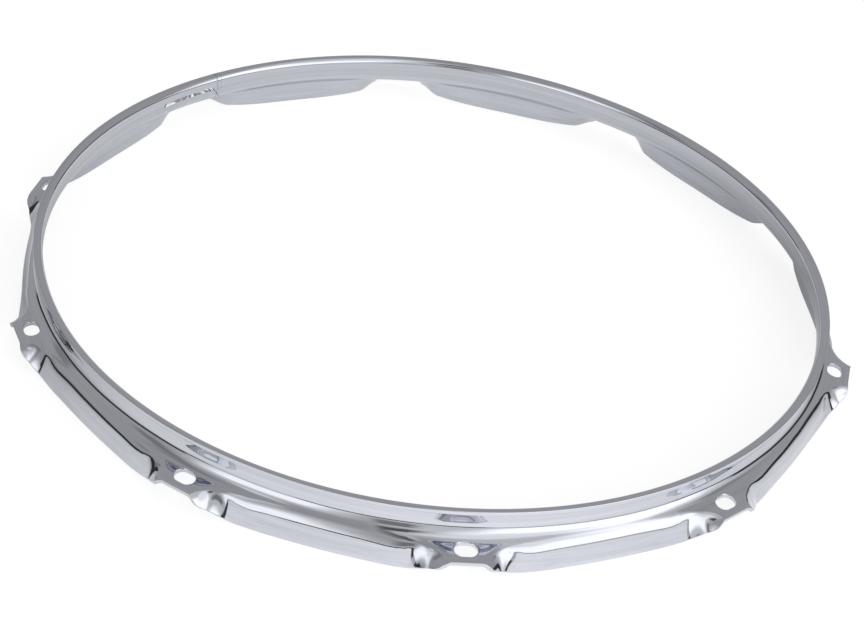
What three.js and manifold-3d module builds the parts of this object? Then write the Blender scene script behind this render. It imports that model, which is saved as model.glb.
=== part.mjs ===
// A pressed steel drum hoop: one sheet strip rolled into a ring, with a small rim turned out at the top,
// an upright wall that flares out below into ten hanging skirts, and ten flat ears with a rod slot in each.
// The strip's two ends are joined by a weld. Millimetres, +Z up, the skirts' lower edges at height 0.
import * as THREE from 'three';
import { mergeVertices } from 'three/addons/utils/BufferGeometryUtils.js';
import Module from 'manifold-3d';

// Section of the rolled sheet, from the rim down to the skirts.
const sheet = 2;
const wallInsideRadius = 180;
const rimAboveEars = 15.4;
const rimFlatWidth = 0.9;
const rimEdgeRounding = 0.5;
const rimHollowRadius = 1;
const skirtDepth = 11.9;

// Flare below the wall: it comes out almost level at the ears, and stays steeper between them.
const flareHollowRadius = 7.2;
const flareTurn = THREE.MathUtils.degToRad(53);
const earTurn = THREE.MathUtils.degToRad(81.5);
const flareFade = 8;

// Ears and their rod slots, placed from the wall.
const earCount = 10;
const earSetOut = 16.1;
const earFlatWidth = 12;
const levelFade = 4.6;
const slotSetOut = 9.3;
const slotLength = 9.4;
const slotWidth = 6.8;

// Skirts: the sheet's outer edge leans out beside the ears and comes in under the flare at mid span.
const shoulderLength = 8.5;
const shoulderTurn = THREE.MathUtils.degToRad(49);
const skirtTurn = THREE.MathUtils.degToRad(90);
const shoulderSheetWidth = 10.9;
const edgeSetOut = 4.3;
const edgeBendRadius = 2.6;
const settlePower = 2.5;
const bulgeOut = 2.2;
const bulgeUp = 2.1;
const bulgeStartLength = 6;
const bulgeEndFrom = 13;
const bulgeEndLength = 9;

// Bend from the flare down into the skirt: tight beside the ears, wide at mid span.
const shoulderHollowRadius = 2;
const skirtHollowRadius = 7.8;
const widenFrom = 17;
const widenLength = 13;

// Weld across the strip, at an angle round the ring from the ear on +X.
const weldAngle = THREE.MathUtils.degToRad(141.4);
const weldWidth = 3;
const weldProud = 0.2;
const weldClearance = 0.3;

// Overrun of every cutting solid past what it cuts.
const overrun = 5;

// Numbers of facets.
const rimFacets = 3;
const flareFacets = 4;
const bendFacets = 3;
const shoulderFacets = 4;
const skirtFacets = 4;
const slotEndFacets = 5;
const skirtFacetSpread = 1.5;

// Part of a sector that is stepped to each side to find which way a surface faces.
const nudgeShare = 0.001;

// Most of the room up to the outer edge that the level stretch and the skirt's bend may take.
const levelRoomShare = 0.8;
const bendRoomShare = 0.97;

const sectorAngle = (2 * Math.PI) / earCount;
const earTop = skirtDepth;
const rimTop = earTop + rimAboveEars;
const earMiddle = earTop - sheet / 2;
const rimMiddle = rimTop - sheet / 2;
const wallMiddleRadius = wallInsideRadius + sheet / 2;
const rimBendRadius = rimHollowRadius + sheet / 2;
const flareRadius = flareHollowRadius + sheet / 2;
const rimEdgeRadius = wallMiddleRadius + rimBendRadius + rimFlatWidth + rimEdgeRounding;
const turnDownRadius = wallMiddleRadius + edgeSetOut;
const slotCircleRadius = wallMiddleRadius + slotSetOut;
const earEdgeRadius = wallMiddleRadius + earSetOut;
// Radial reach of the ear from the end of its bend, and the height at which the bend starts.
const earReach = earSetOut - flareRadius * (1 - Math.cos(earTurn));
const flareTop = earMiddle + flareRadius * Math.sin(earTurn) + earReach / Math.tan(earTurn);
const halfEar = earFlatWidth / 2;
const halfSpan = (sectorAngle / 2) * slotCircleRadius;
const skirtStart = halfEar + shoulderLength;

const wasm = await Module();
wasm.setup();

// How far an angle lies from the nearest ear, as a length on the circle of the slots.
function earOffset(angle) {
  const turns = angle / sectorAngle;
  return Math.abs(turns - Math.round(turns)) * sectorAngle * slotCircleRadius;
}

// Radius and height of the sheet's outer edge at an angle, measured from a line set out from the wall.
function outerEdge(angle) {
  const offset = earOffset(angle);
  const nearestEar = Math.round(angle / sectorAngle) * sectorAngle;
  const earWidth = earEdgeRadius / Math.cos(angle - nearestEar) - turnDownRadius;
  const hangingWidth = skirtDepth - sheet / 2 - edgeBendRadius + edgeBendRadius * skirtTurn;
  const fold = THREE.MathUtils.smoothstep(offset, halfEar, skirtStart);
  const toMiddle = Math.max(0, (offset - skirtStart) / (halfSpan - skirtStart));
  const settle = 1 - (1 - toMiddle) ** settlePower;
  const turn = shoulderTurn * fold + (skirtTurn - shoulderTurn) * settle;
  const besideEar = THREE.MathUtils.lerp(earWidth, shoulderSheetWidth, fold);
  const straight = THREE.MathUtils.lerp(besideEar, hangingWidth, settle) - edgeBendRadius * turn;
  const out = edgeBendRadius * Math.sin(turn) + straight * Math.cos(turn);
  const down = edgeBendRadius * (1 - Math.cos(turn)) + straight * Math.sin(turn);
  const swellStart = THREE.MathUtils.smoothstep(offset, halfEar, halfEar + bulgeStartLength);
  const swellEnd = THREE.MathUtils.smoothstep(offset, bulgeEndFrom, bulgeEndFrom + bulgeEndLength);
  const swell = swellStart * (1 - swellEnd);
  return {
    radius: turnDownRadius + out + bulgeOut * swell,
    height: earMiddle - down + bulgeUp * swell,
  };
}

// A point further along a heading.
function onward(from, length) {
  return {
    radius: from.radius + length * Math.cos(from.heading),
    height: from.height + length * Math.sin(from.heading),
    heading: from.heading,
  };
}

// Points of a bend that turns away from a point's heading, to the left if the turn is positive.
function bend(from, radius, turn, facets) {
  const side = Math.sign(turn);
  const points = [];
  for (let i = 1; i <= facets; i += 1) {
    const heading = from.heading + (turn * i) / facets;
    points.push({
      radius: from.radius + side * radius * (Math.sin(heading) - Math.sin(from.heading)),
      height: from.height - side * radius * (Math.cos(heading) - Math.cos(from.heading)),
      heading,
    });
  }
  return points;
}

// Points from where the flare ends to the outer edge: level on the ear, bent down into the skirt beside it.
function hangingPoints(start, edge, offset) {
  const out = edge.radius - start.radius;
  const down = start.height - edge.height;
  const ahead = out * Math.cos(start.heading) - down * Math.sin(start.heading);
  const below = down * Math.cos(start.heading) + out * Math.sin(start.heading);
  if (offset <= halfEar || below <= 0) {
    const step = ahead / (bendFacets + 1);
    return Array.from({ length: bendFacets + 1 }, (_, i) => onward(start, step * (i + 1)));
  }
  const widen = THREE.MathUtils.smoothstep(offset, widenFrom, widenFrom + widenLength);
  const wanted = THREE.MathUtils.lerp(shoulderHollowRadius, skirtHollowRadius, widen) + sheet / 2;
  const radius = Math.min(wanted, (bendRoomShare * (ahead ** 2 + below ** 2)) / (2 * below));
  const straight = Math.sqrt(ahead ** 2 + (radius - below) ** 2 - radius ** 2);
  const turn = Math.atan2(ahead, radius - below) - Math.atan2(straight, radius);
  const bent = bend(start, radius, -turn, bendFacets);
  return [...bent, onward(bent[bent.length - 1], straight)];
}

// The sheet's middle line at an angle round the ring, from the rim's edge down to the outer edge. Each
// point has the share of the sheet's thickness that is left there, less than 1 on the rounded rim edge.
function middleLine(angle) {
  const offset = earOffset(angle);
  const beyond = Math.max(0, offset - halfEar);
  const nearEar = (1 + beyond / flareFade) * Math.exp(-beyond / flareFade);
  const turn = THREE.MathUtils.lerp(flareTurn, earTurn, nearEar);
  const rimEdge = {
    radius: rimEdgeRadius,
    height: rimMiddle,
    heading: Math.PI,
    thicknessShare: 1 - (2 * rimEdgeRounding) / sheet,
  };
  const rimFlat = onward({ radius: rimEdgeRadius, height: rimMiddle, heading: Math.PI }, rimEdgeRounding);
  const rimBendStart = onward(rimFlat, rimFlatWidth);
  const rim = bend(rimBendStart, rimBendRadius, Math.PI / 2, rimFacets);
  const wallEnd = { radius: wallMiddleRadius, height: flareTop, heading: -Math.PI / 2 };
  const flare = bend(wallEnd, flareRadius, turn, flareFacets);
  const flareEnd = flare[flare.length - 1];
  const edge = outerEdge(angle);
  const room = (edge.radius - flareEnd.radius) * levelRoomShare;
  const levelWidth = earReach * Math.exp(-beyond / levelFade);
  const level = onward(flareEnd, Math.min(levelWidth, room));
  const hanging = hangingPoints(level, edge, offset);
  return [rimEdge, rimFlat, rimBendStart, ...rim, wallEnd, ...flare, level, ...hanging];
}

function placed(point, angle) {
  return new THREE.Vector3(
    point.radius * Math.cos(angle), point.radius * Math.sin(angle), point.height);
}

// One closed outline of the sheet at an angle: along one face to the outer edge and back on the other.
function sheetOutline(angle, thickness) {
  const nudge = sectorAngle * nudgeShare;
  const here = middleLine(angle);
  const before = middleLine(angle - nudge);
  const after = middleLine(angle + nudge);
  const upper = [];
  const lower = [];
  here.forEach((point, i) => {
    const along = placed({ radius: Math.cos(point.heading), height: Math.sin(point.heading) }, angle);
    const round = placed(after[i], angle + nudge).sub(placed(before[i], angle - nudge));
    const half = (thickness / 2) * (point.thicknessShare ?? 1);
    const normal = along.cross(round).normalize().multiplyScalar(half);
    const middle = placed(point, angle);
    upper.push(middle.clone().add(normal));
    lower.push(middle.clone().sub(normal));
  });
  return [...upper, ...lower.reverse()];
}

// Angles of the facets round the ring: few on the ear and the skirt, more on the shoulders between.
function facetAngles() {
  const offsets = [];
  for (let i = 0; i <= shoulderFacets; i += 1) {
    offsets.push(halfEar + (shoulderLength * i) / shoulderFacets);
  }
  for (let i = 1; i <= skirtFacets; i += 1) {
    offsets.push(THREE.MathUtils.lerp(skirtStart, halfSpan, (i / skirtFacets) ** skirtFacetSpread));
  }
  const angles = [];
  for (let ear = 0; ear < earCount; ear += 1) {
    const centre = ear * sectorAngle;
    offsets.slice(0, -1).reverse().forEach((offset) => angles.push(centre - offset / slotCircleRadius));
    offsets.forEach((offset) => angles.push(centre + offset / slotCircleRadius));
  }
  return angles;
}

function solidOf(geometry) {
  const bare = geometry.clone();
  bare.deleteAttribute('normal');
  bare.deleteAttribute('uv');
  const merged = mergeVertices(bare);
  return new wasm.Manifold(new wasm.Mesh({
    numProp: 3,
    vertProperties: new Float32Array(merged.attributes.position.array),
    triVerts: new Uint32Array(merged.index.array),
  }));
}

// The whole ring of sheet, closed on itself.
function ringSolid(thickness) {
  const outlines = facetAngles().map((angle) => sheetOutline(angle, thickness));
  const around = outlines.length;
  const across = outlines[0].length;
  const positions = outlines.flat().flatMap((point) => point.toArray());
  const index = [];
  for (let i = 0; i < around; i += 1) {
    for (let j = 0; j < across; j += 1) {
      const a = i * across + j;
      const b = i * across + ((j + 1) % across);
      const c = ((i + 1) % around) * across + ((j + 1) % across);
      const d = ((i + 1) % around) * across + j;
      index.push(a, b, c, a, c, d);
    }
  }
  const geometry = new THREE.BufferGeometry();
  geometry.setAttribute('position', new THREE.Float32BufferAttribute(positions, 3));
  geometry.setIndex(index);
  return solidOf(geometry);
}

// A long slot with round ends, lying along the ring, tall enough to pass through the sheet.
function slotCutter(angle) {
  const endRadius = slotWidth / 2;
  const toEnd = slotLength / 2 - endRadius;
  const outline = new THREE.Shape();
  outline.absarc(0, toEnd, endRadius, 0, Math.PI, false);
  outline.absarc(0, -toEnd, endRadius, Math.PI, 2 * Math.PI, false);
  outline.closePath();
  const height = sheet + 2 * overrun;
  const geometry = new THREE.ExtrudeGeometry(outline, {
    depth: height,
    bevelEnabled: false,
    curveSegments: slotEndFacets,
  });
  geometry.translate(slotCircleRadius, 0, earTop - sheet - overrun);
  geometry.rotateZ(angle);
  return solidOf(geometry);
}

// A slab across the whole section where the weld lies.
function weldSlab(width) {
  const inner = wallInsideRadius - overrun;
  const outer = earEdgeRadius + overrun;
  const geometry = new THREE.BoxGeometry(outer - inner, width, rimTop + 2 * overrun);
  geometry.translate((inner + outer) / 2, 0, rimTop / 2);
  geometry.rotateZ(weldAngle);
  return solidOf(geometry);
}

function meshOf(solid, name, material) {
  const { vertProperties, triVerts } = solid.getMesh();
  const geometry = new THREE.BufferGeometry();
  geometry.setAttribute('position', new THREE.BufferAttribute(vertProperties, 3));
  geometry.setIndex(new THREE.BufferAttribute(triVerts, 1));
  geometry.computeVertexNormals();
  const mesh = new THREE.Mesh(geometry, material);
  mesh.name = name;
  return mesh;
}

function hoopStrip() {
  let solid = ringSolid(sheet).subtract(weldSlab(weldWidth));
  for (let ear = 0; ear < earCount; ear += 1) {
    solid = solid.subtract(slotCutter(ear * sectorAngle));
  }
  return meshOf(solid, 'hoop_strip', new THREE.MeshStandardMaterial({
    color: 0xc8c9cf,
    metalness: 1,
    roughness: 0.08,
  }));
}

function buttWeld() {
  const solid = ringSolid(sheet + 2 * weldProud).intersect(weldSlab(weldWidth - 2 * weldClearance));
  return meshOf(solid, 'butt_weld', new THREE.MeshStandardMaterial({
    color: 0xbcbdc3,
    metalness: 1,
    roughness: 0.2,
  }));
}

const group = new THREE.Group();
group.add(hoopStrip(), buttWeld());

export default group;
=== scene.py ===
import math

import bmesh
import bpy
from mathutils import Matrix, Vector


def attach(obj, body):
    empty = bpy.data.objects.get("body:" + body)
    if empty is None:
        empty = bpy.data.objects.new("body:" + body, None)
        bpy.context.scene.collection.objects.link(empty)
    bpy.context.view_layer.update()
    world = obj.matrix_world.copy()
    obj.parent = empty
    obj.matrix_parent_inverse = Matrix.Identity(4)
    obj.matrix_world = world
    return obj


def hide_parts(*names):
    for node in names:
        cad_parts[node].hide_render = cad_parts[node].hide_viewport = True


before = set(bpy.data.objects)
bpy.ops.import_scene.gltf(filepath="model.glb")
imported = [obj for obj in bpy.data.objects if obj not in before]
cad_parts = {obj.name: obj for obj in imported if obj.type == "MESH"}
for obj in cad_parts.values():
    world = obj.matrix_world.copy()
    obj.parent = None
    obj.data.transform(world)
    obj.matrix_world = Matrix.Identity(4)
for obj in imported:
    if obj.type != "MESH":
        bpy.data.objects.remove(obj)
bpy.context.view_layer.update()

MM = 0.001

# Section of the rolled sheet, the same sizes as the solids.
SHEET = 2.0 * MM
WALL_MIDDLE = 181.0 * MM
RIM_EDGE = 184.4 * MM
RIM_MIDDLE = 26.3 * MM
RIM_BEND = 2.0 * MM
RIM_NEAR = 0.2 * MM
BEND_TOP = 21.5 * MM
FLARE_BEND = 8.2 * MM
FLARE_SLOPE = math.radians(53)
EAR_SLOPE = math.radians(81.5)
EAR_MIDDLE = 10.9 * MM
TURN_DOWN = 185.3 * MM
SKIRT_BEND = 8.8 * MM
SKIRT_DEPTH = 11.9 * MM

# Ears, slots, the folds beside the ears and the skirts. The folds swell out by 0.1 mm less than the solids'
# do, which keeps their smooth edges inside the solids' box.
EARS = 10
SECTOR = 2 * math.pi / EARS
EAR_EDGE = 197.1 * MM
HALF_EAR = 6.0 * MM
SHOULDER = 8.5 * MM
SHOULDER_TURN = math.radians(49)
SKIRT_TURN = math.radians(90)
SHOULDER_WIDTH = 10.9 * MM
SETTLE_POWER = 2.5
EDGE_BEND = 2.6 * MM
BULGE_OUT = 2.1 * MM
BULGE_UP = 2.1 * MM
BULGE_FULL = 12.0 * MM
BULGE_FROM = 13.0 * MM
BULGE_TO = 22.0 * MM
FLAT_FADE = 4.6 * MM
FOLD_FADE = 8.0 * MM
FOLD_BEND = 3.0 * MM
FOLD_UNTIL = 17.0 * MM
FOLD_OUT = 13.0 * MM
LEAST_FOLD = 0.02 * MM
MOST_LEVEL = 0.98
MOST_BEND = 0.97
SLOT_CIRCLE = 190.3 * MM
SLOT_LENGTH = 9.4 * MM
SLOT_WIDTH = 6.8 * MM
SLOT_STEPS = 64
SLOT_FLARE = 0.35 * MM
HALF_SPAN = SECTOR / 2 * SLOT_CIRCLE

# Depths below an ear's top, in millimetres, with the share of the slot's flare at each.
SLOT_RINGS = [
    (-2.0, 1.0), (-0.06, 1.0), (0.02, 0.62), (0.12, 0.3), (0.35, 0), (1.65, 0), (1.88, 0.3), (1.98, 0.62),
    (2.06, 1.0), (4.0, 1.0)]

# Rounding of the sheet's cut edges, and the angle from which an edge counts as one of them, in radians.
EDGE_ROUND = 0.3 * MM
RIM_ROUND = 0.4 * MM
EDGE_ROUND_STEPS = 3
RIM_ROUND_STEPS = 5
SHARP_FROM = 1.0

# Weld across the strip, the line that slants over it (its slant is a turn per metre of height) and the
# uneven ground beside it.
WELD_ANGLE = math.radians(141.4)
WELD_SLANT = math.radians(0.25) / MM
MARKS_UNTIL = math.radians(154)
WELD_WIDTH = 2.4 * MM
WELD_PROUD = 0.015 * MM
WELD_SEAM = 0.004 * MM
SEAM_REACH = 3 * WELD_SEAM
SAME_PLACE = 0.01 * MM
NEAR_WELD = 0.2
WELD_LINE_HEIGHT = 15 * MM
WELD_LINE_FOOT = 1.1 * MM
WELD_LINE_CREST = 0.5 * MM
WELD_LINE_RISE = 0.24
INWARD_FACING = -0.2
MARKS_TOP = 22 * MM
MARKS_FADE_DOWN = 2 * MM
MARKS_FADE_IN = math.radians(1.5)
MARKS_FADE_OUT = math.radians(4)
SWIRLS = (85, 1, 1.4)

# Steps of the mesh: all round one sector, from an ear's middle to where its folds start and to where they
# end, down the sheet below the wall, and round the rim's bend. Then the lengths that count as nothing.
STEPS_ROUND = 74
EAR_STEPS = 3
FOLD_STEPS = 27
FOLD_FROM = 5.5 * MM
FOLD_TO = 24.0 * MM
FLANGE_STEPS = 43
RIM_BEND_STEPS = 8
TINY = 0.001 * MM
CUT_WITHIN = 0.0001 * MM

# Direction of the picture's camera round the hoop.
VIEW_TURN = math.radians(13.03)


def smooth_share(value, low, high):
    """A share from 0 to 1 that rises smoothly between two values."""
    share = min(max((value - low) / (high - low), 0), 1)
    return share * share * (3 - 2 * share)


def blend(a, b, share):
    """A value at a share of the way from one to another."""
    return a + (b - a) * share


def new_piece(name, mesh, material, node):
    """A smooth piece of the hoop that takes the place of a node of the frame."""
    mesh.materials.clear()
    mesh.materials.append(material)
    for face in mesh.polygons:
        face.use_smooth = True
    piece = bpy.data.objects.new(name, mesh)
    bpy.context.scene.collection.objects.link(piece)
    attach(piece, "root")
    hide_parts(node)
    return piece


def flat_strip():
    """The sheet's middle surface as a ring, before its outer edge is folded down into skirts."""
    bm = bmesh.new()
    corners = [(RIM_EDGE, RIM_MIDDLE), (WALL_MIDDLE, RIM_MIDDLE), (WALL_MIDDLE, BEND_TOP), (WALL_MIDDLE, 0)]
    verts = [bm.verts.new((radius, 0, height)) for radius, height in corners]
    edges = [bm.edges.new(pair) for pair in zip(verts, verts[1:])]
    bmesh.ops.subdivide_edges(bm, edges=[edges[2]], cuts=FLANGE_STEPS - 1)
    place = Vector((WALL_MIDDLE, 0, RIM_MIDDLE))
    corner = min(bm.verts, key=lambda vert: (vert.co - place).length)
    bmesh.ops.bevel(
        bm, geom=[corner], offset=RIM_BEND, affect="VERTICES", segments=RIM_BEND_STEPS, profile=0.5,
        material=-1)
    bmesh.ops.spin(
        bm, geom=bm.verts[:] + bm.edges[:], cent=(0, 0, 0), axis=(0, 0, 1), angle=SECTOR, steps=STEPS_ROUND)
    sector = bm.verts[:] + bm.edges[:] + bm.faces[:]
    for ear in range(1, EARS):
        copy = bmesh.ops.duplicate(bm, geom=sector)["geom"]
        verts = [item for item in copy if isinstance(item, bmesh.types.BMVert)]
        turn = Matrix.Rotation(ear * SECTOR, 3, "Z")
        bmesh.ops.rotate(bm, verts=verts, cent=(0, 0, 0), matrix=turn)
    return bm


def crowded(angle):
    """Moves a step's angle so that the steps lie closer together in the folds beside each ear."""
    ear = round(angle / SECTOR)
    steps = (angle - ear * SECTOR) / SECTOR * STEPS_ROUND
    count = abs(steps)
    if count <= EAR_STEPS:
        offset = blend(0, FOLD_FROM, count / EAR_STEPS)
    elif count <= FOLD_STEPS:
        offset = blend(FOLD_FROM, FOLD_TO, (count - EAR_STEPS) / (FOLD_STEPS - EAR_STEPS))
    else:
        offset = blend(FOLD_TO, HALF_SPAN, (count - FOLD_STEPS) / (STEPS_ROUND / 2 - FOLD_STEPS))
    return ear * SECTOR + math.copysign(offset / SLOT_CIRCLE, steps)


def outer_edge(angle):
    """Radius and height of the sheet's outer edge at an angle."""
    ear = round(angle / SECTOR) * SECTOR
    offset = abs(angle - ear) * SLOT_CIRCLE
    ear_width = EAR_EDGE / math.cos(angle - ear) - TURN_DOWN
    hanging = SKIRT_DEPTH - SHEET / 2 - EDGE_BEND + EDGE_BEND * SKIRT_TURN
    fold = smooth_share(offset, HALF_EAR, HALF_EAR + SHOULDER)
    to_middle = max(0, (offset - HALF_EAR - SHOULDER) / (HALF_SPAN - HALF_EAR - SHOULDER))
    settle = 1 - (1 - min(to_middle, 1)) ** SETTLE_POWER
    turn = SHOULDER_TURN * fold + (SKIRT_TURN - SHOULDER_TURN) * settle
    straight = blend(blend(ear_width, SHOULDER_WIDTH, fold), hanging, settle) - EDGE_BEND * turn
    out = EDGE_BEND * math.sin(turn) + straight * math.cos(turn)
    down = EDGE_BEND * (1 - math.cos(turn)) + straight * math.sin(turn)
    swell = smooth_share(offset, HALF_EAR, BULGE_FULL) * (1 - smooth_share(offset, BULGE_FROM, BULGE_TO))
    return TURN_DOWN + out + BULGE_OUT * swell, EAR_MIDDLE - down + BULGE_UP * swell


def flange_pieces(angle):
    """The sheet's middle line below the wall at an angle, as pieces of a length and a turn to the outside."""
    offset = abs(angle - round(angle / SECTOR) * SECTOR) * SLOT_CIRCLE
    beyond = max(0, offset - HALF_EAR)
    near_ear = (1 + beyond / FOLD_FADE) * math.exp(-beyond / FOLD_FADE)
    slope = blend(FLARE_SLOPE, EAR_SLOPE, near_ear)
    reach = EAR_EDGE - WALL_MIDDLE - FLARE_BEND * (1 - math.cos(EAR_SLOPE))
    bend_from = EAR_MIDDLE + FLARE_BEND * math.sin(EAR_SLOPE) + reach / math.tan(EAR_SLOPE)
    radius = WALL_MIDDLE + FLARE_BEND * (1 - math.cos(slope))
    height = bend_from - FLARE_BEND * math.sin(slope)
    edge_radius, edge_height = outer_edge(angle)
    level = reach * math.exp(-beyond / FLAT_FADE)
    level = min(level, (edge_radius - radius) * MOST_LEVEL)
    radius += level * math.sin(slope)
    height -= level * math.cos(slope)
    ahead = (edge_radius - radius) * math.sin(slope) + (height - edge_height) * math.cos(slope)
    below = (height - edge_height) * math.sin(slope) - (edge_radius - radius) * math.cos(slope)
    pieces = [(BEND_TOP - bend_from, 0), (FLARE_BEND * slope, slope), (level, 0)]
    if below < LEAST_FOLD:
        return pieces + [(ahead, 0)]
    widest = MOST_BEND * (ahead ** 2 + below ** 2) / (2 * below)
    bend = min(blend(FOLD_BEND, SKIRT_BEND, smooth_share(offset, FOLD_UNTIL, FOLD_UNTIL + FOLD_OUT)), widest)
    straight = math.sqrt(ahead ** 2 + (bend - below) ** 2 - bend ** 2)
    turn = math.atan2(ahead, bend - below) - math.atan2(straight, bend)
    return pieces + [(bend * turn, -turn), (straight, 0)]


def along_pieces(pieces, share):
    """The point at a share of the pieces' whole length."""
    radius, height, slope = WALL_MIDDLE, BEND_TOP, 0
    left = share * sum(length for length, turn in pieces)
    for length, turn in pieces:
        part = min(left, length)
        turned = turn * part / length if length > 0 else 0
        chord = part if abs(turned) < 1e-6 else part * math.sin(turned / 2) / (turned / 2)
        radius += chord * math.sin(slope + turned / 2)
        height -= chord * math.cos(slope + turned / 2)
        slope += turned
        left -= part
        if left <= 0:
            break
    return radius, height


def folded_strip():
    """The middle surface with its ears bent out and its skirts folded down between them."""
    bm = flat_strip()
    known = {}
    for vert in bm.verts:
        radius = math.hypot(vert.co.x, vert.co.y)
        height = vert.co.z
        angle = crowded(math.atan2(vert.co.y, vert.co.x))
        if height < BEND_TOP:
            step = round(angle, 7)
            if step not in known:
                known[step] = flange_pieces(angle)
            radius, height = along_pieces(known[step], 1 - height / BEND_TOP)
        vert.co = (radius * math.cos(angle), radius * math.sin(angle), height)
    bmesh.ops.remove_doubles(bm, verts=bm.verts[:], dist=TINY)
    return bm


def cut_at_weld(bm, width, keep_weld):
    """Cuts the ring across at the weld and keeps either the weld or the rest."""
    radial = Vector((math.cos(WELD_ANGLE), math.sin(WELD_ANGLE), 0))
    along = Vector((-radial.y, radial.x, 0))
    near = [face for face in bm.faces if (face.calc_center_median().normalized() - radial).length < NEAR_WELD]
    for side in (-1, 1):
        geom = near + list({edge for face in near for edge in face.edges})
        geom += list({vert for face in near for vert in face.verts})
        cut = bmesh.ops.bisect_plane(
            bm, geom=geom, dist=CUT_WITHIN, plane_co=along * side * width / 2, plane_no=along)
        near = [item for item in cut["geom"] if isinstance(item, bmesh.types.BMFace)]
    unwanted = []
    for face in bm.faces:
        middle = face.calc_center_median()
        in_weld = abs(middle.dot(along)) < width / 2 and middle.dot(radial) > 0
        if in_weld != keep_weld:
            unwanted.append(face)
    bmesh.ops.delete(bm, geom=unwanted, context="FACES")


def rounded(bm, edges, size, steps):
    """Rounds some edges of a mesh."""
    bmesh.ops.bevel(
        bm, geom=edges, offset=size, affect="EDGES", segments=steps, profile=0.5, material=-1)


def thickened(bm, thickness, rim_round):
    """Gives the sheet its thickness on both sides of the middle surface and rounds its cut edges."""
    bmesh.ops.recalc_face_normals(bm, faces=bm.faces[:])
    mesh = bpy.data.meshes.new("sheet")
    bm.to_mesh(mesh)
    bm.free()
    sheet = bpy.data.objects.new("sheet", mesh)
    bpy.context.scene.collection.objects.link(sheet)
    solid = sheet.modifiers.new("thickness", "SOLIDIFY")
    solid.thickness = thickness
    solid.offset = 0
    graph = bpy.context.evaluated_depsgraph_get()
    bm = bmesh.new()
    bm.from_mesh(sheet.evaluated_get(graph).to_mesh())
    bpy.data.objects.remove(sheet)
    bpy.data.meshes.remove(mesh)
    rounded(bm, [edge for edge in cut_edges(bm) if not is_rim_edge(edge)], EDGE_ROUND, EDGE_ROUND_STEPS)
    for edge in bm.edges:
        if is_weld_edge(edge):
            edge.smooth = False
    rounded(bm, [edge for edge in cut_edges(bm) if is_rim_edge(edge)], rim_round, RIM_ROUND_STEPS)
    bmesh.ops.recalc_face_normals(bm, faces=bm.faces[:])
    return bm


def cut_edges(bm):
    """The sharp edges of the sheet, apart from those at the weld."""
    sharp = [edge for edge in bm.edges if edge.is_manifold and edge.calc_face_angle() > SHARP_FROM]
    return [edge for edge in sharp if not is_weld_edge(edge)]


def is_weld_edge(edge):
    """True for the edges where the strip's ends and the weld meet, which are left sharp."""
    radial = Vector((math.cos(WELD_ANGLE), math.sin(WELD_ANGLE), 0))
    aside = [vert.co.cross(radial).z for vert in edge.verts]
    if abs(aside[0] - aside[1]) > SAME_PLACE or edge.verts[0].co.dot(radial) < 0:
        return False
    return abs(abs(aside[0]) - WELD_WIDTH / 2) < SEAM_REACH


def is_rim_edge(edge):
    """True for the two long edges along the rim's outer edge."""
    return all(
        math.hypot(vert.co.x, vert.co.y) > RIM_EDGE - RIM_NEAR and vert.co.z > RIM_MIDDLE - SHEET
        for vert in edge.verts)


def slot_punch(angle):
    """A solid the shape of a rod slot, wider where it leaves the sheet so that the edges come out rounded."""
    bm = bmesh.new()
    rings = []
    for depth, flare in SLOT_RINGS:
        radius = SLOT_WIDTH / 2 + SLOT_FLARE * flare
        ring = bmesh.ops.create_circle(bm, cap_ends=False, segments=SLOT_STEPS, radius=radius)["verts"]
        for vert in ring:
            vert.co.y += math.copysign((SLOT_LENGTH - SLOT_WIDTH) / 2, vert.co.y + TINY)
            vert.co.z = EAR_MIDDLE + SHEET / 2 - depth * MM
        rings.append(ring)
    for upper, lower in zip(rings, rings[1:]):
        both = upper + lower
        edges = {edge for vert in both for edge in vert.link_edges if edge.other_vert(vert) in both}
        bmesh.ops.bridge_loops(bm, edges=[edge for edge in edges if len(edge.link_faces) < 2])
    bmesh.ops.holes_fill(bm, edges=[edge for edge in bm.edges if edge.is_boundary])
    bmesh.ops.recalc_face_normals(bm, faces=bm.faces[:])
    tilt = Matrix.Rotation(math.pi / 2 - EAR_SLOPE, 3, "Y")
    bmesh.ops.rotate(bm, verts=bm.verts[:], cent=(0, 0, EAR_MIDDLE), matrix=tilt)
    rise = (EAR_EDGE - SLOT_CIRCLE) / math.tan(EAR_SLOPE)
    bmesh.ops.translate(bm, verts=bm.verts[:], vec=(SLOT_CIRCLE, 0, rise))
    bmesh.ops.rotate(bm, verts=bm.verts[:], cent=(0, 0, 0), matrix=Matrix.Rotation(angle, 3, "Z"))
    return bm


def smooth_object(name, mesh):
    """A smooth helper object in the scene, which is removed after use."""
    for face in mesh.polygons:
        face.use_smooth = True
    item = bpy.data.objects.new(name, mesh)
    bpy.context.scene.collection.objects.link(item)
    return item


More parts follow.
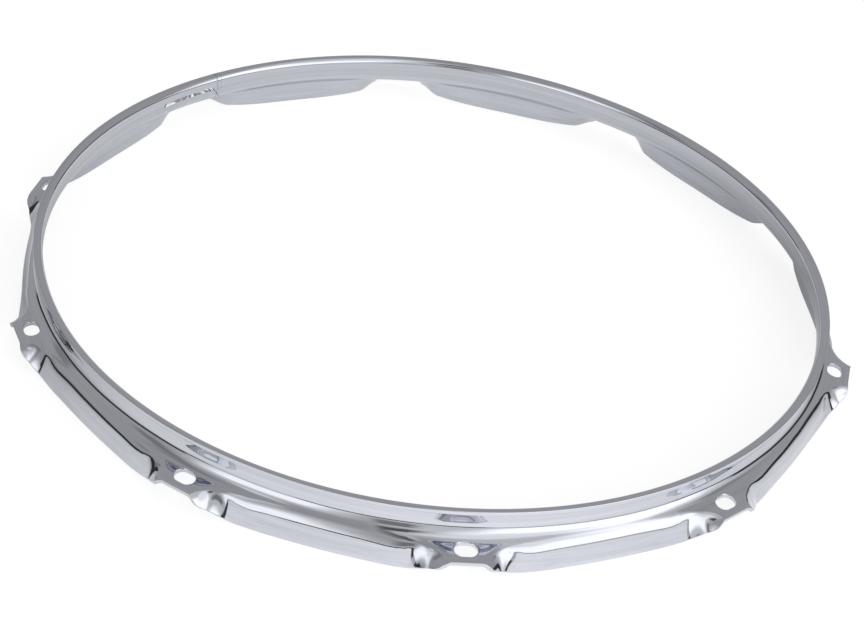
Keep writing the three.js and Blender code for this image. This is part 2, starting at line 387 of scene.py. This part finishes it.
def punch_slots(bm):
    """Cuts the ten slots through the ears."""
    mesh = bpy.data.meshes.new("strip")
    bm.to_mesh(mesh)
    bm.free()
    strip = smooth_object("strip", mesh)
    punches = bpy.data.meshes.new("punches")
    tools = bmesh.new()
    for ear in range(EARS):
        punch = slot_punch(ear * SECTOR)
        step = bpy.data.meshes.new("punch")
        punch.to_mesh(step)
        punch.free()
        tools.from_mesh(step)
        bpy.data.meshes.remove(step)
    tools.to_mesh(punches)
    tools.free()
    cutter = smooth_object("punches", punches)
    cut = strip.modifiers.new("slots", "BOOLEAN")
    cut.operation = "DIFFERENCE"
    cut.object = cutter
    cut.solver = "EXACT"
    shading = strip.modifiers.new("shading", "WEIGHTED_NORMAL")
    shading.mode = "FACE_AREA"
    shading.weight = 100
    graph = bpy.context.evaluated_depsgraph_get()
    punched = bpy.data.meshes.new_from_object(strip.evaluated_get(graph))
    bpy.data.objects.remove(strip)
    bpy.data.objects.remove(cutter)
    bpy.data.meshes.remove(mesh)
    bpy.data.meshes.remove(punches)
    return punched


def hoop_strip(material):
    """The strip, from one side of the weld round to the other."""
    bm = folded_strip()
    cut_at_weld(bm, WELD_WIDTH + 2 * WELD_SEAM, keep_weld=False)
    bm = thickened(bm, SHEET, RIM_ROUND)
    return new_piece("rolled_strip", punch_slots(bm), material, "hoop_strip")


def weld_bead(material):
    """The weld across the strip, a little prouder than the sheet on both sides."""
    bm = folded_strip()
    cut_at_weld(bm, WELD_WIDTH, keep_weld=True)
    bm = thickened(bm, SHEET + 2 * WELD_PROUD, EDGE_ROUND)
    mesh = bpy.data.meshes.new("weld_bead")
    bm.to_mesh(mesh)
    bm.free()
    return new_piece("weld_bead", mesh, material, "butt_weld")


def give(tree, socket, value):
    """Links a socket to another node's output, or sets it to a constant."""
    if isinstance(value, bpy.types.NodeSocket):
        tree.links.new(value, socket)
    else:
        socket.default_value = value


def arithmetic(tree, operation, *values):
    """The result of a math node on sockets and numbers."""
    node = tree.nodes.new("ShaderNodeMath")
    node.operation = operation
    for socket, value in zip(node.inputs, values):
        give(tree, socket, value)
    return node.outputs[0]


def vector_arithmetic(tree, operation, *values):
    """The outputs of a vector math node on sockets and triples."""
    node = tree.nodes.new("ShaderNodeVectorMath")
    node.operation = operation
    for socket, value in zip(node.inputs, values):
        give(tree, socket, value)
    return node.outputs


def sum_of(tree, total, *others):
    """The sum of some sockets."""
    for value in others:
        total = arithmetic(tree, "ADD", total, value)
    return total


def product_of(tree, total, *others):
    """The product of some sockets."""
    for value in others:
        total = arithmetic(tree, "MULTIPLY", total, value)
    return total


def levels(tree, value, low, high, to_low, to_high):
    """A value moved from one range to another and kept inside it."""
    node = tree.nodes.new("ShaderNodeMapRange")
    for name, number in zip(("From Min", "From Max", "To Min", "To Max"), (low, high, to_low, to_high)):
        node.inputs[name].default_value = number
    tree.links.new(value, node.inputs["Value"])
    return node.outputs["Result"]


def separated(tree, vector):
    """The outputs X, Y and Z of a vector."""
    node = tree.nodes.new("ShaderNodeSeparateXYZ")
    tree.links.new(vector, node.inputs[0])
    return node.outputs


def noise(tree, vector, look, fourth=None):
    """A noise texture on a vector, with a fourth coordinate if one is given."""
    node = tree.nodes.new("ShaderNodeTexNoise")
    node.noise_dimensions = "4D" if fourth else "3D"
    for name, number in zip(("Scale", "Detail", "Roughness"), look):
        node.inputs[name].default_value = number
    tree.links.new(vector, node.inputs["Vector"])
    if fourth:
        tree.links.new(fourth, node.inputs["W"])
    return node.outputs["Fac"]


def bumped(tree, height, distance, strength, normal=None):
    """The surface's normal, tilted by a height."""
    node = tree.nodes.new("ShaderNodeBump")
    node.inputs["Distance"].default_value = distance
    node.inputs["Strength"].default_value = strength
    tree.links.new(height, node.inputs["Height"])
    if normal:
        tree.links.new(normal, node.inputs["Normal"])
    return node.outputs["Normal"]


def weld_marks(tree, coordinates, split, outwards):
    """Height of the slanting weld line on the inside of the wall, and of the uneven ground beside it."""
    round_ring = arithmetic(tree, "ARCTAN2", split["Y"], split["X"])
    slanted = arithmetic(tree, "MULTIPLY_ADD", split["Z"], -WELD_SLANT, round_ring)
    aside = arithmetic(tree, "SUBTRACT", slanted, WELD_ANGLE - WELD_LINE_HEIGHT * WELD_SLANT)
    size = arithmetic(tree, "ABSOLUTE", aside)
    surface = tree.nodes.new("ShaderNodeNewGeometry")
    facing = vector_arithmetic(tree, "DOT_PRODUCT", surface.outputs["True Normal"], outwards)["Value"]
    inside = levels(tree, facing, 0, INWARD_FACING * WALL_MIDDLE, 0, 1)
    low = levels(tree, split["Z"], MARKS_TOP, MARKS_TOP - MARKS_FADE_DOWN, 0, 1)
    line = levels(tree, size, WELD_LINE_FOOT / WALL_MIDDLE, WELD_LINE_CREST / WALL_MIDDLE, 0, WELD_LINE_RISE)
    swirl = tree.nodes.new("ShaderNodeTexNoise")
    for name, number in zip(("Scale", "Detail", "Distortion"), SWIRLS):
        swirl.inputs[name].default_value = number
    tree.links.new(coordinates, swirl.inputs["Vector"])
    start = levels(tree, aside, 0, MARKS_FADE_IN, 0, 1)
    stop = levels(tree, round_ring, MARKS_UNTIL, MARKS_UNTIL - MARKS_FADE_OUT, 0, 1)
    uneven = product_of(tree, swirl.outputs["Fac"], start, stop)
    return product_of(tree, sum_of(tree, line, uneven), inside, low)


# Colour, roughness, depth of the rolled lines and depth of the waves, for the strip and for the weld.
STRIP_CHROME = ((0.658, 0.677, 0.735), 0.045, 0.1, 0.3 * MM)
WELD_CHROME = ((0.643, 0.662, 0.72), 0.08, 0.2, 1.6 * MM)

# Looks of the chrome's noise textures: scale, detail and roughness.
FINE_LINES = (900, 3, 0.62)
BROAD_LINES = (260, 2, 0.5)
WAVES = (38, 1, 0.4)
HAZE = (24, 4, 0.55)
GRAIN = (5200, 2, 0.5)
SCRATCHES = (310, 5, 0.7)

# Share of the scale along x and y for the lines, which run round the ring, and the shade of the streaks.
DRAWN_OUT = (0.012, 0.012, 1)
STREAK_SHADE = 0.84

# From where to where each noise counts, and how much it then darkens the colour or changes the roughness.
BROAD_STREAKS = (0.42, 0.66, 0, 0.5)
FINE_STREAKS = (0.4, 0.68, 0, 0.6)
HAZY, HAZE_SHARES = (0.3, 0.72), (0.7, 1.5)
SCRATCHED, SCRATCH_SHARE = (0.62, 0.72), 0.9
LINED, LINE_SHARE = (0.5, 0.75), 0.5

# Specks of dust: their scale, the haze that holds them, and their core and rim from a cell's middle.
SPECK_SCALE = 130
DUSTY = (0.56, 0.6)
SPECK_CORE, SPECK_RIM = 0.02, 0.05
SPECK_ROUGHNESS = 0.22

# Depths of the bumps.
WELD_BUMP = 4 * MM
BROAD_LINE_BUMP = 0.12 * MM
FINE_LINE_BUMP = 0.04 * MM
GRAIN_BUMP = 0.0012 * MM


def chrome(name, colour, roughness, rolled, wavy):
    """Chrome plating over rolled steel: lines along the ring, shallow waves, haze, scratches and specks."""
    material = bpy.data.materials.new(name)
    material.use_nodes = True
    tree = material.node_tree
    nodes, links = tree.nodes, tree.links
    shader = nodes["Principled BSDF"]
    coordinates = nodes.new("ShaderNodeTexCoord").outputs["Object"]
    split = separated(tree, coordinates)
    flat = nodes.new("ShaderNodeCombineXYZ")
    links.new(split["X"], flat.inputs["X"])
    links.new(split["Y"], flat.inputs["Y"])
    outwards = flat.outputs[0]
    reach = vector_arithmetic(tree, "LENGTH", outwards)["Value"]
    drawn_out = vector_arithmetic(tree, "MULTIPLY", coordinates, DRAWN_OUT)["Vector"]
    lines = noise(tree, drawn_out, FINE_LINES, reach)
    broad_lines = noise(tree, drawn_out, BROAD_LINES, reach)
    haze = noise(tree, coordinates, HAZE)
    specks = nodes.new("ShaderNodeTexVoronoi")
    specks.inputs["Scale"].default_value = SPECK_SCALE
    links.new(coordinates, specks.inputs["Vector"])
    speck = levels(tree, specks.outputs["Distance"], SPECK_CORE, SPECK_RIM, 1, 0)
    dust = product_of(tree, speck, levels(tree, haze, *DUSTY, 0, 1))
    rough = sum_of(
        tree,
        levels(tree, haze, *HAZY, *(roughness * share for share in HAZE_SHARES)),
        levels(tree, noise(tree, coordinates, SCRATCHES), *SCRATCHED, 0, roughness * SCRATCH_SHARE),
        levels(tree, lines, *LINED, 0, roughness * LINE_SHARE),
        levels(tree, dust, 0, 1, 0, SPECK_ROUGHNESS),
    )
    links.new(rough, shader.inputs["Roughness"])
    streaks = sum_of(tree, levels(tree, broad_lines, *BROAD_STREAKS), levels(tree, lines, *FINE_STREAKS))
    tint = nodes.new("ShaderNodeMix")
    tint.data_type = "RGBA"
    tint.inputs["A"].default_value = (*colour, 1)
    tint.inputs["B"].default_value = (*(share * STREAK_SHADE for share in colour), 1)
    links.new(streaks, tint.inputs["Factor"])
    links.new(tint.outputs["Result"], shader.inputs["Base Color"])
    shader.inputs["Metallic"].default_value = 1
    normal = bumped(tree, noise(tree, coordinates, WAVES), wavy, 1)
    normal = bumped(tree, weld_marks(tree, coordinates, split, outwards), WELD_BUMP, 1, normal)
    normal = bumped(tree, broad_lines, BROAD_LINE_BUMP, rolled, normal)
    normal = bumped(tree, lines, FINE_LINE_BUMP, rolled, normal)
    normal = bumped(tree, noise(tree, coordinates, GRAIN), GRAIN_BUMP, 1, normal)
    links.new(normal, shader.inputs["Normal"])
    return material


# The floor's half width in metres, its drop below the hoop, its own shade and the glow that the camera sees.
FLOOR_REACH = 6
FLOOR_DROP = 0.02 * MM
FLOOR_SHADE = 0.45
FLOOR_SEEN = 0.76

# Glow of the floor as the chrome mirrors it, with painted shade for the hoop's shadow on the floor: dimmer
# behind the hoop (0) and dimmest past its sides, brightest at the front (1), and how far to the right of the
# camera that front is turned.
FLOOR_GLOW_PAINTED_SHADE = [
    (0, 0.54), (0.15, 0.46), (0.3, 0.3), (0.45, 0.16), (0.55, 0.24), (0.66, 0.42), (0.75, 0.56), (0.835, 0.6),
    (0.957, 0.72), (1, 0.83)]
GLOW_TURN = math.radians(11)


def studio_floor():
    """A white floor that keeps the hoop's shadow. Its glow, as the chrome mirrors it, is painted shade:
    dimmer beside and behind the hoop than in front.
    """
    bm = bmesh.new()
    bmesh.ops.create_grid(bm, x_segments=1, y_segments=1, size=FLOOR_REACH)
    bmesh.ops.translate(bm, verts=bm.verts[:], vec=(0, 0, -FLOOR_DROP))
    mesh = bpy.data.meshes.new("floor")
    bm.to_mesh(mesh)
    bm.free()
    floor = bpy.data.objects.new("floor", mesh)
    bpy.context.scene.collection.objects.link(floor)
    material = bpy.data.materials.new("white_floor")
    material.use_nodes = True
    tree = material.node_tree
    nodes, links = tree.nodes, tree.links
    nodes.clear()
    output = nodes.new("ShaderNodeOutputMaterial")
    diffuse = nodes.new("ShaderNodeBsdfDiffuse")
    diffuse.inputs["Color"].default_value = (FLOOR_SHADE, FLOOR_SHADE, FLOOR_SHADE, 1)
    glow = nodes.new("ShaderNodeEmission")
    total = nodes.new("ShaderNodeAddShader")
    rays = nodes.new("ShaderNodeLightPath").outputs
    place = nodes.new("ShaderNodeTexCoord").outputs["Object"]
    outwards = vector_arithmetic(tree, "NORMALIZE", place)["Vector"]
    glow_side = VIEW_TURN + GLOW_TURN
    glow_ahead = (math.sin(glow_side), -math.cos(glow_side), 0)
    forward = vector_arithmetic(tree, "DOT_PRODUCT", outwards, glow_ahead)["Value"]
    ramp = nodes.new("ShaderNodeValToRGB")
    for position, level in FLOOR_GLOW_PAINTED_SHADE[1:-1]:
        ramp.color_ramp.elements.new(position).color = (level, level, level, 1)
    for end in (0, -1):
        level = FLOOR_GLOW_PAINTED_SHADE[end][1]
        ramp.color_ramp.elements[end].color = (level, level, level, 1)
    links.new(levels(tree, forward, -1, 1, 0, 1), ramp.inputs["Fac"])
    # Painted shade: the floor that the chrome mirrors glows less beside and behind the hoop than in front,
    # standing for the hoop's shadow.
    mirrored_painted_shade = product_of(tree, rays["Is Glossy Ray"], ramp.outputs["Color"])
    shown = arithmetic(tree, "MULTIPLY_ADD", rays["Is Camera Ray"], FLOOR_SEEN, mirrored_painted_shade)
    links.new(shown, glow.inputs["Strength"])
    links.new(diffuse.outputs[0], total.inputs[0])
    links.new(glow.outputs[0], total.inputs[1])
    links.new(total.outputs[0], output.inputs["Surface"])
    mesh.materials.append(material)
    return floor


# Brightness of the surroundings, and the soft boxes and dark strips in them: the middle and half size as
# turns to the right and up in degrees, the lean, the width of the soft edge in degrees and the brightness.
# Turn 0 is straight ahead of the camera and turn 180 is behind it.
SKY_LEVEL = 0.52
SOFT_BOXES = [
    ((135, 36), (50, 48), 0, 26, 0.92),
    ((131, 20), (30, 31), 0.15, 16, 2.0),
    ((147, 55), (17, 19), 0.3, 16, 1.35),
    ((177, 56), (5, 8), 0, 6, 0.35),
    ((-178, 60), (7, 9), 0, 7, 0.14),
    ((-143, 18), (24, 26), 0.2, 18, 0.95),
    ((-144, 15), (16, 17), 0.3, 14, 1.75),
    ((-132, 49), (7, 6), 0, 8, 1.1),
    ((-177, 25), (6, 12), 0, 6, 0.3),
    ((-101, 42), (6, 17), 0.2, 6, 0.32),
    ((-92, 58), (14, 5), 0, 6, 0.36),
    ((-70, 18), (5, 15), 0.6, 5, 0.34),
    ((-76, 4), (16, 6), 0, 7, 0.35),
    ((84, 33), (7, 9), 0.2, 7, 0.42),
    ((82, 74), (42, 9), 0, 10, 0.9),
    ((72, 2), (16, 5), 0, 5, 0.34),
    ((170, 1.5), (128, 3), 0, 2, 0.06),
    ((136, 1.5), (24, 3), 0, 5, 0.7),
    ((-139, 1.5), (12, 3), 0, 5, 0.75),
    ((66, 4), (26, 5), 0, 3, 0.05),
    ((-86, 4), (34, 5), 0, 3, 0.05),
]


def edge_share(tree, offset, reach, soft):
    """A share that falls softly from 1 to 0 where an offset passes a reach, both in degrees."""
    node = tree.nodes.new("ShaderNodeMapRange")
    node.interpolation_type = "SMOOTHSTEP"
    node.inputs["From Min"].default_value = math.radians(reach + soft / 2)
    node.inputs["From Max"].default_value = math.radians(reach - soft / 2)
    tree.links.new(arithmetic(tree, "ABSOLUTE", offset), node.inputs["Value"])
    return node.outputs["Result"]


def soft_box(tree, azimuth, elevation, middle, half, lean, soft):
    """A share from 0 to 1 that is 1 towards a soft box."""
    up = arithmetic(tree, "SUBTRACT", elevation, math.radians(middle[1]))
    across = arithmetic(tree, "SUBTRACT", azimuth, math.radians(middle[0]))
    across = arithmetic(tree, "MULTIPLY_ADD", up, -lean, across)
    across = arithmetic(tree, "WRAP", across, -math.pi, math.pi)
    return product_of(tree, edge_share(tree, across, half[0], soft), edge_share(tree, up, half[1], soft))


def mixed(tree, factor, low, high):
    """A number between two others."""
    node = tree.nodes.new("ShaderNodeMix")
    node.data_type = "FLOAT"
    for name, value in (("Factor", factor), ("A", low), ("B", high)):
        give(tree, node.inputs[name], value)
    return node.outputs["Result"]


def studio_light():
    """Surroundings that light the hoop from soft boxes and that the camera sees as plain white."""
    world = bpy.data.worlds.new("studio")
    bpy.context.scene.world = world
    world.use_nodes = True
    tree = world.node_tree
    nodes, links = tree.nodes, tree.links
    nodes.clear()
    output = nodes.new("ShaderNodeOutputWorld")
    background = nodes.new("ShaderNodeBackground")
    turned = nodes.new("ShaderNodeMapping")
    turned.inputs["Rotation"].default_value = (0, 0, -VIEW_TURN)
    links.new(nodes.new("ShaderNodeTexCoord").outputs["Generated"], turned.inputs["Vector"])
    split = separated(tree, turned.outputs["Vector"])
    azimuth = arithmetic(tree, "ARCTAN2", split["X"], split["Y"])
    elevation = arithmetic(tree, "ARCSINE", split["Z"])
    strength = SKY_LEVEL
    for middle, half, lean, soft, level in SOFT_BOXES:
        share = soft_box(tree, azimuth, elevation, middle, half, lean, soft)
        strength = mixed(tree, share, strength, level)
    seen = nodes.new("ShaderNodeLightPath").outputs["Is Camera Ray"]
    links.new(mixed(tree, seen, strength, 1), background.inputs["Strength"])
    links.new(background.outputs[0], output.inputs["Surface"])


# The picture's camera: lens and sensor in millimetres, places in the picture in pixels.
PICTURE_WIDTH = 864
SENSOR_WIDTH = 36
FOCAL_LENGTH = 86.54
FOCAL_PIXELS = 2077.0
SHIFT = (139.5, 0.5)
LENS_MIDDLE = Vector((292, 314))
RING_MIDDLE = Vector((427.4, 275.7))
CAMERA_TILT = math.radians(35.72)
CAMERA_ROLL = math.radians(5.92)
CAMERA_DISTANCE = 976.4 * MM


def camera():
    """The camera that took the picture, placed by where it shows the ring's middle."""
    data = bpy.data.cameras.new("camera")
    data.sensor_fit = "HORIZONTAL"
    data.sensor_width = SENSOR_WIDTH
    data.lens = FOCAL_LENGTH
    data.shift_x, data.shift_y = SHIFT[0] / PICTURE_WIDTH, SHIFT[1] / PICTURE_WIDTH
    aim = Vector((0, -math.cos(CAMERA_TILT), math.sin(CAMERA_TILT)))
    level = Vector((1, 0, 0))
    upright = aim.cross(level)
    right = math.cos(CAMERA_ROLL) * level + math.sin(CAMERA_ROLL) * upright
    up = -math.sin(CAMERA_ROLL) * level + math.cos(CAMERA_ROLL) * upright
    pixel = CAMERA_DISTANCE / FOCAL_PIXELS
    aside = (RING_MIDDLE - LENS_MIDDLE) * pixel
    pose = Matrix((right, up, aim)).transposed().to_4x4()
    pose.translation = CAMERA_DISTANCE * aim - aside.x * right + aside.y * up
    lift = Matrix.Translation((0, 0, SKIRT_DEPTH))
    turn = Matrix.Rotation(VIEW_TURN, 4, "Z")
    eye = bpy.data.objects.new("camera", data)
    eye.matrix_world = lift @ turn @ pose
    bpy.context.scene.collection.objects.link(eye)
    bpy.context.scene.camera = eye


camera()
strip_chrome = chrome("chrome_plate", *STRIP_CHROME)
weld_chrome = chrome("chromed_weld", *WELD_CHROME)
hoop_strip(strip_chrome)
weld_bead(weld_chrome)
studio_floor()
studio_light()
bpy.context.scene.view_settings.view_transform = "Standard"
